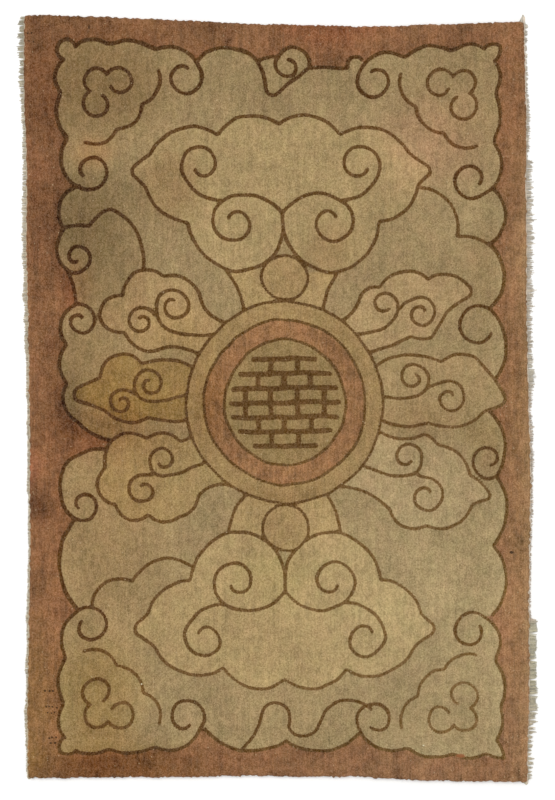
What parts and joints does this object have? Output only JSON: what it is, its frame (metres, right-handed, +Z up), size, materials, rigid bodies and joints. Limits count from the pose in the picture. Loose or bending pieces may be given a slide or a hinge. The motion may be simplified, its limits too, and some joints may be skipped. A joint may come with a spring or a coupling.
{
  "type": "chinese rug",
  "caption": "Old hand-knotted wool rug with a rust border, an olive field of scrolled clouds round a medallion, and worn cotton fringes.",
  "frame": {"origin": "centre of the rug's bounding box, on the floor that it lies on", "axes": "+Z up out of the pile; +Y along the rug's long side, towards the corner with the long wisp; +X across, along the warps"},
  "size_m": [0.9472, 1.4062, 0.0095],
  "materials": {
    "pile_wool": "worn wool pile in rust, olive and gold with dark brown outlines, matt with a faint sheen",
    "warp_cotton": "matt undyed cotton, greyed and frayed"
  },
  "bodies": {
    "root": {"rug": "pile_wool", "fringe_left": "warp_cotton", "fringe_right": "warp_cotton"}
  },
  "joints": []
}
